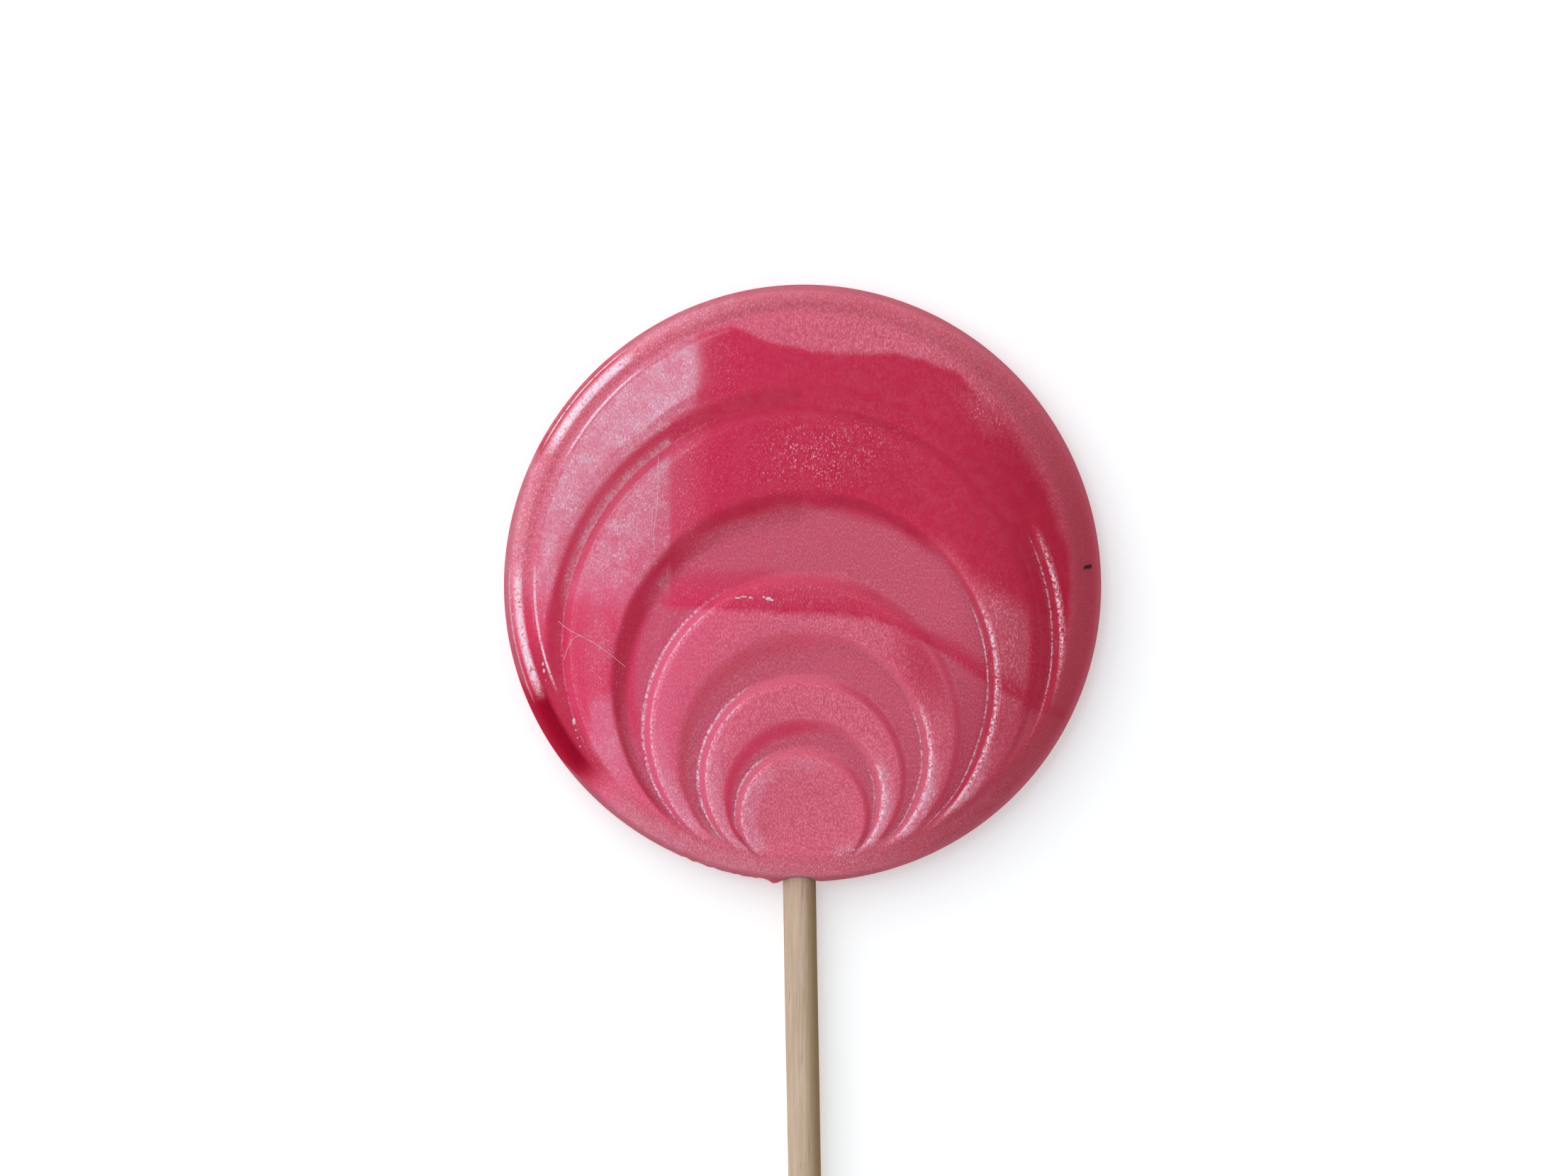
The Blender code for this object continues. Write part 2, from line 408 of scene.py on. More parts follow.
def paintedCreaseHighlights(x, y):
    # for the painted highlights: where each point lies across the nearest wall that faces the light, and how
    # lit that wall is;
    # on the right, where the crest shines more than the foot, 10 is added to the place
    nearest = np.full(len(x), 9.0)
    place = np.full(len(x), 9.0)
    lit = np.zeros(len(x))
    for first in valleyStarts:
        for crease, foot, inward in ((first + 3, first + 2, 1.0), (first, first + 1, -1.0)):
            wall = wallFall(ringLines[crease], ringLines[foot], x, y, inward, 1.0)
            top, bottom, halfWidth = ringLines[crease][:3]
            above = np.maximum(y - (top - halfWidth), 0.0)
            facing = -inward * x / np.maximum(np.hypot(x, above), 0.01)
            low, high = (0.40, 0.80) if inward > 0.0 else (0.88, 0.97)
            near = within(wall, -0.7, -0.4, 1.4, 1.8) * softStep(low, high, facing)
            if first == 1 and inward > 0.0:
                near = 0.30 * near
            closer = np.abs(wall - 0.5) < np.abs(nearest - 0.5)
            nearest = np.where(closer, wall, nearest)
            place = np.where(closer, wall + (0.0 if inward > 0.0 else 10.0), place)
            lit = np.where(closer, near, lit)
    return place, lit * runOut(x, y)


def insideThird(x, y):
    # the ring's flat inside the second valley
    inThird = softStep(0.5, -0.7, outsideLine(ringLines[8], x, y))
    return inThird * softStep(-0.7, 0.5, outsideLine(ringLines[9], x, y))


def slantBand(x, y, z, sway, start, full, fading, end):
    # a band across the rim that leans and grows fainter down the side
    slant = polar(x, y)[1] + 2.5 * np.maximum(7.0 - z, 0.0) + 6.0 * sway * (z < 7.0)
    return within(slant, start, full, fading, end) * (0.45 + 0.55 * softStep(0.0, 6.0, z))


def paintWalls(x, y, z):
    wall = np.zeros(len(x))
    for first in valleyStarts:
        wall = strongest(wall, outerWall(first, x, y), within(innerFall(first, x, y), -0.1, 0.1, 0.9, 1.1))
    return wall * runOut(x, y) * (z > candy["faceFrom"])


def paintRed(x, y, z, sway):
    # how red the sugar is: the upper crescent first
    radius = polar(x, y)[0]
    blur = marbling["edgeBlur"]
    fade = 2.2 * softStep(17.0, 27.0, x)
    upper = softStep(blur + fade, -blur - fade, y - alongCurve("crescentEdge", x) + sway)
    upper = upper * softStep(-0.2, 1.6, outsideLine(ringLines[6], x, y) + sway)
    upper = upper * softStep(31.6, 30.6, radius)
    upper = upper * softStep(-2.2, 2.2, y + sway - alongCurve("redFloor", x))
    upper = upper * (1.0 - 0.45 * softStep(-10.0, -15.0, x))
    alongFirst = softStep(0.3, -0.4, outsideLine(ringLines[1], x, y))
    alongFirst = alongFirst * softStep(-0.8, 0.0, outsideLine(ringLines[4], x, y))
    upper = np.maximum(upper, 0.85 * alongFirst * softStep(18.0, 22.0, x) * softStep(-16.5, -13.5, y))
    upper = np.maximum(upper, 0.90 * alongFirst * softStep(-13.5, -10.5, x) * softStep(4.0, 8.0, y))

    # the streak across the third ring
    top, edge = alongCurve("streakTop", x), alongCurve("streakEdge", x)
    across = np.clip((top + 0.4 - y) / (top - edge + 0.4), 0.0, 1.0)
    streak = (0.45 + 0.55 * across) * softStep(0.8, -0.8, y - top + sway)
    streak = streak * softStep(-blur, blur, y - edge + sway * 0.5) * softStep(-18.5, -15.5, x)

    # the lower left, with the pink coming back beside it
    lowLeft = softStep(-20.6, -22.2, x) * softStep(0.5, -4.0, y + sway)
    lowLeft = lowLeft * softStep(-20.5, -18.5, y + 0.25 * (x + 28.0))
    pinkReturn = softStep(-25.4, -24.2, x) * softStep(-12.0, -14.5, y)
    red = strongest(upper, streak, 0.92 * lowLeft * (1.0 - pinkReturn))

    # redder on the walls that fall inward; on the walls turned from the light this red is painted shade
    besideSecond = within(outsideLine(ringLines[5], x, y), -3.6, -2.2, -0.5, 0.2)
    besideSecond = besideSecond * softStep(-8.0, -16.0, x) * softStep(-22.0, -14.0, y)
    besideFirst = (0.95 - 0.25 * blob(x, y, (-26.0, 12.0), (8.0, 8.0))) * outerBand(1, x, y)
    red = strongest(red, 0.95 * besideSecond, 0.75 * outerWall(5, x, y), besideFirst)
    # painted shade: redder on the walls turned from the light, inner walls on the right, outer walls on the
    # left, and the right of the third ring
    for first in valleyStarts:
        red = np.maximum(red, 0.42 * innerWall(first, x, y) * softStep(2.0, 8.0, x))
    for first, strength in ((9, 0.45), (13, 0.75)):
        red = np.maximum(red, strength * outerWall(first, x, y) * softStep(8.0, -2.0, x))
    red = np.maximum(red, 0.60 * insideThird(x, y) * softStep(8.0, 14.0, x) * softStep(-17.0, -9.0, y))
    red = red * (1.0 - 0.35 * blob(x, y, (20.9, 19.6), (3.2, 1.1), radians(-45.0)))
    lowLeftRim = softStep(30.8, 31.6, radius) * slantBand(x, y, z, sway, 182.0, 190.0, 220.0, 228.0)
    return np.maximum(red, lowLeftRim)


def paintDeepAndShade(x, y, z, sway):
    # the deep red, painted shade toward the right and on walls turned from the light, and the thick sugar of
    # the side
    radius, angle = polar(x, y)
    wedge = softStep(32.1, 32.7, radius) * slantBand(x, y, z, sway, 200.0, 205.0, 218.0, 224.0)
    topLeftEdge = softStep(33.7, 34.1, radius) * within(angle, 126.0, 132.0, 152.0, 160.0)
    towardRight = x + np.where(y > 0.0, 0.12 * y, -0.30 * y)
    onRim = softStep(30.8, 32.4, radius)
    rightRim = onRim * softStep(6.0, 28.0, towardRight)
    upperRim = within(angle, 5.0, 50.0, 60.0, 90.0)
    # painted shade: darker toward the right, on the walls turned from the light, and on parts of the rim
    paintedShade = 0.50 * softStep(16.0, 31.0, towardRight) * (1.0 - 0.5 * upperRim * onRim)
    paintedShade = paintedShade + (0.26 - 0.20 * upperRim) * rightRim
    paintedShade = paintedShade + (0.12 + 0.12 * (x < 0.0)) * outerBand(5, x, y)
    paintedShade = paintedShade + 0.24 * insideThird(x, y) * softStep(9.0, 15.0, x) * softStep(-18.0, -10.0, y)
    paintedShade = paintedShade + 0.14 * softStep(31.5, 33.0, radius) * within(angle, 60.0, 80.0, 100.0, 115.0)
    for first in valleyStarts:
        paintedShade = np.maximum(paintedShade, 0.20 * innerWall(first, x, y) * softStep(2.0, 8.0, x))
    deep = strongest(wedge, 0.8 * topLeftEdge, paintedShade, 0.3 * softStep(33.6, 34.6, radius))

    side = np.maximum(softStep(33.7, 34.6, radius), z < candy["faceFrom"])
    side = side * (1.0 - 0.9 * np.maximum(wedge, topLeftEdge))
    # the right of the rim is painted darker as shade; its top and lower right are darker too
    side = strongest(side, (0.50 + 0.08 * upperRim) * rightRim, 0.14 * onRim * softStep(228.0, 240.0, angle),
                     0.22 * onRim * within(angle, 45.0, 70.0, 108.0, 122.0))
    return deep, side


def paintLitLeft(x, y):
    # painted light: pink and red are brighter and livelier toward the lit left, less so on the walls that
    # fall away from it
    radius, angle = polar(x, y)
    vivid = 0.25 + 0.75 * softStep(6.0, -23.0, x - 0.25 * y)
    vivid = vivid * softStep(30.0, 16.0, x) * (1.0 - 0.45 * softStep(-4.0, 12.0, y))
    vivid = vivid * (1.0 - 0.8 * softStep(31.4, 32.2, radius) * softStep(200.0, 170.0, angle))
    vivid = vivid * (1.0 - 0.6 * softStep(31.0, 32.5, radius) * softStep(222.0, 232.0, angle))
    fallen = strongest(outerBand(1, x, y), outerBand(5, x, y), outerBand(9, x, y))
    lowRim = softStep(30.5, 31.5, radius) * within(angle, 188.0, 198.0, 221.0, 228.0)
    return vivid * (1.0 - 0.9 * fallen * (x < 0.0)) * (1.0 - 0.8 * lowRim)


def paintBloomAndSheen(x, y, wall, sway):
    # partly milky crystals, partly a painted reflection: the left of the first two rings is milky up to a
    # straight edge, where the upper window's mirror image ends
    radius, angle = polar(x, y)
    outside = outsideLine(ringLines[1], x, y) > 0.0
    edge = np.where(outside, softStep(-12.1, -12.6, x), softStep(-15.2, -15.7, x))
    low = np.where(outside, softStep(-9.0, 1.0, y + sway), 0.95 * softStep(-4.0, 2.0, y + sway))
    milkAndSheen = np.where(outside, 0.58, 0.72) * edge * low * (0.85 + 0.5 * sway)
    milkAndSheen = np.maximum(milkAndSheen, spots(bloomSpots, x, y))

    # and, as a painted highlight, the crests of the rings near their lower ends
    for first in valleyStarts[1:]:
        crest = within(outsideLine(ringLines[first], x, y), -0.6, 0.3, 0.6, 1.7)
        milkAndSheen = np.maximum(milkAndSheen, 0.8 * crest * softStep(-17.0, -25.0, y) * softStep(3.0, 7.0, x))
        crest = within(outsideLine(ringLines[first + 3], x, y), -2.2, -1.0, -0.3, 0.3)
        milkAndSheen = np.maximum(milkAndSheen, 0.55 * crest * softStep(-14.0, -24.0, y) * softStep(-2.0, -5.0, x))

    # and the rim, milky and with painted sheen, but not its groove or its dark edge
    groove = within(radius, 31.3, 31.9, 32.5, 33.0)
    darkEdge = softStep(33.4, 33.9, radius) * within(angle, 124.0, 129.0, 152.0, 156.0)
    rim = softStep(31.4, 32.0, radius) * within(angle, 50.0, 100.0, 185.0, 200.0)
    milkAndSheen = np.maximum(milkAndSheen, (0.22 + 0.30 * softStep(98.0, 112.0, angle)) * rim)
    milkAndSheen = milkAndSheen * (1.0 - wall) * (1.0 - 0.8 * groove) * (1.0 - darkEdge)
    milkAndSheen = milkAndSheen * np.where(y < -14.0, softStep(32.4, 31.4, radius), 1.0)
    low = (0.16 + 0.20 * softStep(0.0, -8.0, x)) * softStep(31.8, 33.0, radius)
    return np.maximum(milkAndSheen, low * softStep(-14.0, -26.0, y) * softStep(222.0, 233.0, angle))


def paintSheen(x, y, wall, side, creaseShare):
    # the walls and the left of the first two rings are glossy, the upper right least of all
    radius, angle = polar(x, y)
    firstRing = softStep(-0.5, 0.5, outsideLine(ringLines[1], x, y)) * softStep(-7.0, -11.0, x)
    sheen = strongest(0.20 + 0.25 * softStep(-11.0, -14.0, x), wall, firstRing)
    upperRight = np.where(radius < 25.0, softStep(-4.0, 4.0, y), softStep(2.0, 8.0, y))
    sheen = sheen * (1.0 - 0.85 * upperRight * softStep(0.0, 6.0, x))
    sheen = sheen * (1.0 - 0.85 * litWalls(x, y) * (1.0 - creaseShare) * (x > 3.0))
    for first in valleyStarts:
        sheen = sheen * (1.0 - 0.9 * outerBand(first, x, y) * (x < 3.0))
    sheen = sheen * (1.0 - 0.8 * innerWall(1, x, y) * softStep(-20.0, -14.0, x) * (x < 10.0))
    sheen = sheen * softStep(-0.4, 0.4, outsideLine(recessCrease, x, y) + 0.6 * (x < 1.0))
    shine = np.interp(angle, *zip(*rimShine))
    return sheen * (1.0 - side) * np.where(radius > 31.0, shine, 1.0)


def paintMarbling(mesh, x, y, z):
    # every layer is kept on the mesh's points, for the material to read
    points = np.stack([x, y, z], axis=1)
    sway = marbling["wander"] * unevenness(points, marbling["wanderSize"])
    sway = sway + 0.3 * marbling["wander"] * unevenness(points, marbling["wanderSize"] / 3.0)
    radius, angle = polar(x, y)
    depth = valleyDepth(x, y)
    layers = {"redShare": paintRed(x, y, z, sway), "vividShare": paintLitLeft(x, y)}
    layers["deepShare"], side = paintDeepAndShade(x, y, z, sway)
    layers["sideShare"] = side
    wall = paintWalls(x, y, z)
    layers["wallShare"] = wall
    layers["bloomShare"] = paintBloomAndSheen(x, y, wall, sway)
    # painted glints, also along the milky upper rim
    layers["glintShare"] = np.maximum(spots(paintedGlintSpots, x, y),
                                      0.9 * layers["bloomShare"] * softStep(90.0, 105.0, angle))
    # painted shade: the valley floors are darker the deeper they lie
    layers["floorShare"] = (np.clip(depth / 0.7, 0.0, 1.0) * (1.0 - wall)
                            * softStep(-0.5, 0.2, outsideLine(recessCrease, x, y)))

    # where the gloss is broken up, and where painted highlights lie in broken white lines
    crinkle = 0.10 * softStep(-16.0, -27.0, x) + 0.4 * softStep(4.0, -4.0, y) * softStep(-14.0, -20.0, x)
    layers["crinkleShare"] = strongest(crinkle, 0.90 * softStep(0.02, 0.2, depth), litWalls(x, y),
                                       softStep(30.6, 31.2, radius))
    layers["creasePlace"], layers["creaseShare"] = paintedCreaseHighlights(x, y)
    layers["sheenShare"] = paintSheen(x, y, wall, side, layers["creaseShare"])
    # where the painted highlights along the rim lie, and how strong they are
    layers["rimPlace"] = np.maximum(radius, 30.0) * (z > candy["faceFrom"])
    layers["rimShare"] = np.where(radius > 30.2, np.interp(angle, *zip(*paintedRimHighlights)), 0.0)
    for name, values in layers.items():
        mesh.attributes.new(name, "FLOAT", "POINT").data.foreach_set("value", values.astype(np.float32))


sugarLook = {
    "pink": (0.690, 0.158, 0.225),
    "red": (0.575, 0.032, 0.084),
    # deep red, also laid on as painted shade toward the right
    "deep": (0.360, 0.005, 0.028),
    "vivid": (0.830, 0.125, 0.255),     # painted light: toward the lit left the pink is brighter and livelier
    "vividRed": (0.790, 0.040, 0.135),
    "low": (0.570, 0.080, 0.145),       # painted shade on the floors of the valleys
    "edge": (0.400, 0.085, 0.115),      # thick sugar at the side, and painted shade on the right of the rim
    "bloom": (0.780, 0.500, 0.620),     # milky crystals, and painted sheen
    "dash": (0.880, 0.460, 0.560),      # fine crystals in the pink
    "spark": (1.000, 0.760, 0.870),     # painted glints and highlights, near white
    # painted highlights in white lines: place across the wall, width and strength
    "creaseLines": [(-0.38, 0.26, 0.30), (-0.02, 0.24, 0.70), (1.05, 0.24, 1.0),
                    (9.55, 0.35, 0.35), (9.95, 0.34, 1.0), (11.05, 0.14, 0.75)],
    "rimLines": [(31.20, 0.18, 0.9), (33.15, 0.62, 1.0), (34.20, 0.12, 0.7)],
    "pinkRoughness": 0.42,
    "redRoughness": 0.31,
    "specular": 0.0,
    "coatIor": 1.62,
    "coatRoughness": 0.05,
    "subsurface": 1.0,
    "scatter": (3.0, 0.6, 0.75),    # millimetres light travels inside, for red, green and blue
    "crystalSize": 0.14,
    "crystalStretch": 2.0,      # crystals are longer along the stick's direction
    "crystalShade": 0.28,
    "crystalHeight": 0.03,
    "wrinkleSize": 0.32,
    "crinkleHeight": 0.09,
    "chipSize": 0.34,
    "cloudSize": 1.5,
}


def newMaterial(name):
    material = bpy.data.materials.new(name)
    material.use_nodes = True
    return material, material.node_tree, material.node_tree.nodes["Principled BSDF"]


def plug(tree, node, entries):
    # each entry is a (node, output) pair to join, or a plain value to set
    for socket, entry in entries.items():
        if isinstance(entry, tuple) and isinstance(entry[0], bpy.types.Node):
            tree.links.new(entry[0].outputs[entry[1]], node.inputs[socket])
        else:
            node.inputs[socket].default_value = entry


def addNode(tree, kind, entries, **settings):
    node = tree.nodes.new(kind)
    for key, value in settings.items():
        setattr(node, key, value)
    plug(tree, node, entries)
    return node


def attribute(tree, name):
    return addNode(tree, "ShaderNodeAttribute", {}, attribute_name=name), "Fac"


def mixColours(tree, share, first, second):
    # first and second are colours, or (node, output) pairs
    entries = {0: share}
    for socket, entry in ((6, first), (7, second)):
        entries[socket] = entry if isinstance(entry[0], bpy.types.Node) else (*entry, 1.0)
    return addNode(tree, "ShaderNodeMix", entries, data_type="RGBA"), "Result"


def rescale(tree, pair, low, high, newLow, newHigh):
    entries = {"Value": pair, "From Min": low, "From Max": high, "To Min": newLow, "To Max": newHigh}
    return addNode(tree, "ShaderNodeMapRange", entries, clamp=True), "Result"


def stretched(tree, place, alongY, turn=0.0):
    entries = {"Vector": place, "Rotation": (0.0, 0.0, radians(turn)), "Scale": (1.0, alongY, 1.0)}
    return addNode(tree, "ShaderNodeMapping", entries), "Vector"


def noiseTexture(tree, place, size, detail, distortion=0.0, roughness=0.6):
    entries = {"Vector": place, "Scale": 1.0 / (size * mm), "Detail": detail, "Roughness": roughness,
               "Distortion": distortion}
    return addNode(tree, "ShaderNodeTexNoise", entries), "Fac"


def bump(tree, height, depth, strength):
    entries = {"Height": height, "Distance": depth * mm, "Strength": strength}
    return addNode(tree, "ShaderNodeBump", entries), "Normal"


def combine(tree, operation, first, *others):
    # several pairs or plain numbers, one after another
    for other in others:
        first = (addNode(tree, "ShaderNodeMath", {0: first, 1: other}, operation=operation), "Value")
    return first


def ridgeLine(tree, pair, place, width, flat=0.35):
    # 1 on a line where the pair has this value, 0 once it is the width away
    away = combine(tree, "ABSOLUTE", combine(tree, "SUBTRACT", pair, place), 0.0)
    return rescale(tree, away, flat * width, width, 1.0, 0.0)


def makePaintedHighlightLines(tree, chips, crystals):
    # painted highlights: broken white lines along the creases and the rim
    breaks = {
        "crease": ((0.40, 0.53, 0.0, 1.0), (0.42, 0.58, 0.25, 1.0)),
        "rim": ((0.34, 0.44, 0.0, 1.0), (0.38, 0.52, 0.45, 1.0)),
    }
    parts = []
    for part, (broken, fine) in breaks.items():
        place = attribute(tree, part + "Place")
        lines = [combine(tree, "MULTIPLY", ridgeLine(tree, place, middle, width), strength)
                 for middle, width, strength in sugarLook[part + "Lines"]]
        lines = combine(tree, "MAXIMUM", *lines)
        parts.append(combine(tree, "MULTIPLY", lines, attribute(tree, part + "Share"),
                             rescale(tree, chips, *broken), rescale(tree, crystals, *fine)))
    return combine(tree, "MAXIMUM", *parts)


def makeSugar():
    look = sugarLook
    material, tree, shader = newMaterial("pearly_sugar")
    place = (addNode(tree, "ShaderNodeTexCoord", {}), "Object")
    shares = {}
    for name in ("red", "deep", "wall", "bloom", "crinkle", "side", "vivid", "sheen", "glint", "floor"):
        shares[name] = attribute(tree, name + "Share")
    calm = rescale(tree, shares["wall"], 0.0, 1.0, 1.0, 0.1)

    # crystals a little longer along Y, larger chips, wrinkles in the milky parts, and slow clouds
    alongStick = stretched(tree, place, 1.0 / look["crystalStretch"])
    crystals = noiseTexture(tree, alongStick, look["crystalSize"], 2.0)
    chips = noiseTexture(tree, place, look["chipSize"], 2.0, 0.5)
    wrinkles = noiseTexture(tree, stretched(tree, place, 0.6, -30.0), look["wrinkleSize"], 3.0, 1.4)
    ridges = ridgeLine(tree, wrinkles, 0.5, 0.08, 0.0)
    clouds = noiseTexture(tree, place, look["cloudSize"], 3.0, 0.8)
    milkAndSheen = combine(tree, "MULTIPLY", shares["bloom"], rescale(tree, clouds, 0.36, 0.62, 0.45, 1.0),
                    rescale(tree, ridges, 0.0, 1.0, 0.25, 1.15))

    # colour: pearly pink, clear red and the deepest red, with painted light toward the left, painted shade
    # on the valley floors and toward the right, and milky crystals with painted sheen
    grains = rescale(tree, crystals, 0.30, 0.70, 0.0, 1.0)
    darker = tuple((1.0 - look["crystalShade"]) * part for part in look["pink"])
    paler = tuple((1.0 + look["crystalShade"]) * part for part in look["pink"])
    pink = mixColours(tree, grains, darker, paler)
    pink = mixColours(tree, shares["vivid"], pink, look["vivid"])
    pink = mixColours(tree, rescale(tree, shares["floor"], 0.0, 1.0, 0.0, 0.5), pink, look["low"])
    red = mixColours(tree, shares["vivid"], look["red"], look["vividRed"])
    mottled = combine(tree, "MULTIPLY", rescale(tree, clouds, 0.36, 0.62, 0.86, 1.0), shares["red"])
    colour = mixColours(tree, mottled, pink, red)
    colour = mixColours(tree, shares["deep"], colour, look["deep"])
    colour = mixColours(tree, milkAndSheen, colour, look["bloom"])

    # fine pale crystals, fewer on the walls and floors and in the red
    dashes = combine(tree, "MULTIPLY", rescale(tree, crystals, 0.48, 0.76, 0.0, 0.50), calm,
                     rescale(tree, shares["floor"], 0.0, 1.0, 1.0, 0.75),
                     rescale(tree, shares["red"], 0.0, 1.0, 0.9, 0.2),
                     rescale(tree, shares["deep"], 0.0, 0.6, 1.0, 0.1))
    colour = mixColours(tree, dashes, colour, look["dash"])

    # painted glints in clusters, painted highlights in broken white lines, and the thick side with its
    # painted shade
    sparks = combine(tree, "MULTIPLY", rescale(tree, crystals, 0.58, 0.68, 0.0, 1.0), shares["glint"],
                     rescale(tree, clouds, 0.40, 0.56, 0.15, 1.0))
    white = combine(tree, "MAXIMUM", sparks, makePaintedHighlightLines(tree, chips, crystals))
    colour = mixColours(tree, white, colour, look["spark"])
    colour = mixColours(tree, rescale(tree, shares["side"], 0.0, 1.0, 0.0, 0.75), colour, look["edge"])

    # the shader's gloss is all in the clear coat, broken up on creases and on the rim
    missing = combine(tree, "MULTIPLY", rescale(tree, chips, 0.44, 0.56, 1.0, 0.0), shares["crinkle"])
    sheen = combine(tree, "MULTIPLY", rescale(tree, ridges, 0.0, 1.0, 0.62, 1.0),
                    rescale(tree, clouds, 0.36, 0.62, 0.65, 1.0), shares["sheen"],
                    rescale(tree, missing, 0.0, 1.0, 1.0, 0.0))
    plug(tree, shader, {
        "Base Color": colour,
        "Roughness": rescale(tree, shares["red"], 0.0, 1.0, look["pinkRoughness"], look["redRoughness"]),
        "Specular IOR Level": look["specular"],
        "Coat Weight": sheen,
        "Coat IOR": look["coatIor"],
        "Coat Roughness": look["coatRoughness"],
        "Subsurface Weight": look["subsurface"],
        "Subsurface Radius": look["scatter"],
        "Subsurface Scale": mm,
        "Normal": bump(tree, crystals, look["crystalHeight"], calm),
        "Coat Normal": bump(tree, wrinkles, look["crinkleHeight"], shares["crinkle"]),
    })
    return material


def addPiece(name, mesh, material):
    piece = bpy.data.objects.new(name, mesh)
    bpy.context.scene.collection.objects.link(piece)
    piece.data.materials.append(material)
    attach(piece, "root")
    return piece


# small things on the face: beads where bubbles broke, fibres, scratches and a dark speck

details = {
    # place on the face, then the size along X and Y
    "beads": [(-4.0, -1.75, 0.36, 0.22), (-4.55, -1.55, 0.16, 0.12), (-3.6, -1.9, 0.20, 0.12),
              (-7.6, -1.65, 0.34, 0.10), (-6.9, -1.5, 0.40, 0.09), (-6.1, -1.6, 0.24, 0.12),
              (-30.2, -9.3, 0.13, 0.24), (-30.1, -10.1, 0.14, 0.28), (-29.9, -11.2, 0.06, 0.09),
              (-26.6, -16.0, 0.20, 0.42), (-26.4, -17.0, 0.09, 0.12), (-26.2, -17.9, 0.07, 0.10),
              (-25.9, -18.9, 0.08, 0.10)],
    "fibre": [(-28.5, -4.3), (-27.2, -5.4), (-25.9, -6.0), (-24.0, -7.0), (-22.3, -8.3), (-20.6, -9.7)],
    "secondFibre": [(-27.8, -8.9), (-27.2, -7.0), (-26.4, -6.0), (-25.6, -6.1)],
    "scratch": [(-16.8, 14.9), (-16.8, 12.0), (-17.0, 8.0), (-17.5, 5.4), (-17.2, 3.4)],
    "secondScratch": [(-17.5, 9.0), (-17.6, 6.6)],
    "fibreRadius": 0.028,
    "fibreSides": 6,
    "fibreSmoothings": 30,
    "domeRise": 0.40,           # how far a bead or speck rises, for its half width
    "highest": 7.995,           # nothing reaches higher, so all of it stays within the CAD's box
    "speck": [(33.0, 1.95, 0.42, 0.20), (33.4, 2.05, 0.18, 0.26), (32.7, 1.7, 0.12, 0.10)],
}


def faceHeight(x, y, above, reach):
    # this far above the face, but low enough for something that reaches up from there
    face = candy["thickness"] - float(faceDrop(np.array([x]), np.array([y]))[0])
    return min(face + above, details["highest"] - reach)


def makeDots(name, dots):
    # flat domes, half sunk into the face
    shape = bmesh.new()
    for x, y, sizeX, sizeY in dots:
        made = bmesh.ops.create_icosphere(shape, subdivisions=3, radius=1.0)
        rise = details["domeRise"] * min(sizeX, sizeY)
        height = faceHeight(x, y, 0.0, rise)
        for vert in made["verts"]:
            uneven = 1.0 + 0.15 * noise.noise(vert.co * 1.5 + Vector((x, y, 0.0)))
            wide, deep = sizeX * uneven * vert.co.x, sizeY * uneven * vert.co.y
            vert.co = Vector((x + wide, y + deep, height + rise * vert.co.z)) * mm
    mesh = bpy.data.meshes.new(name)
    shape.to_mesh(mesh)
    shape.free()
    mesh.shade_smooth()
    return mesh


def ringFaces(first, rings, sides):
    # quads between rings of points, and a face on each end
    faces = []
    for ring in range(rings - 1):
        for side in range(sides):
            here, after = first + ring * sides + side, first + ring * sides + (side + 1) % sides
            faces.append((here, after, after + sides, here + sides))
    faces.append([first + side for side in reversed(range(sides))])
    faces.append([first + (rings - 1) * sides + side for side in range(sides)])
    return faces


def tubeMesh(name, verts, faces):
    mesh = bpy.data.meshes.new(name)
    mesh.from_pydata(verts, [], faces)
    fix = bmesh.new()
    fix.from_mesh(mesh)
    bmesh.ops.recalc_face_normals(fix, faces=fix.faces)
    fix.to_mesh(mesh)
    fix.free()
    mesh.shade_smooth()
    return mesh


def makeFibres(name, paths):
    # thin tubes that lie on the face
    verts, faces = [], []
    sides, radius = details["fibreSides"], details["fibreRadius"]
    soft = np.array([0.25, 0.5, 0.25])
    for path in paths:
        steps = np.linspace(0.0, len(path) - 1.0, 12 * (len(path) - 1) + 1)
        xs = np.interp(steps, range(len(path)), [point[0] for point in path])
        ys = np.interp(steps, range(len(path)), [point[1] for point in path])
        for smoothing in range(details["fibreSmoothings"]):
            xs[1:-1] = np.convolve(xs, soft, mode="valid")
            ys[1:-1] = np.convolve(ys, soft, mode="valid")
        faces += ringFaces(len(verts), len(xs), sides)
        alongX, alongY = np.gradient(xs), np.gradient(ys)
        for index, (x, y) in enumerate(zip(xs, ys)):
            along = Vector((alongX[index], alongY[index], 0.0)).normalized()
            size = radius * (1.0 if 0 < index < len(xs) - 1 else 0.2)
            height = faceHeight(x, y, 0.3 * radius, radius)
            for side in range(sides):
                turn = 2.0 * pi * side / sides
                across, up = size * cos(turn), size * sin(turn)
                verts.append(((x - along.y * across) * mm, (y + along.x * across) * mm, (height + up) * mm))
    return tubeMesh(name, verts, faces)


detailLook = {
    # two colours mixed by a fine noise, roughness and coat
    "clear_bead": ((0.86, 0.36, 0.46), (0.93, 0.60, 0.68), 0.35, 1.0),
    "pale_fibre": ((0.86, 0.40, 0.48), (0.93, 0.66, 0.70), 0.45, 0.4),
    "burnt_speck": ((0.030, 0.010, 0.010), (0.120, 0.030, 0.030), 0.60, 0.0),
}


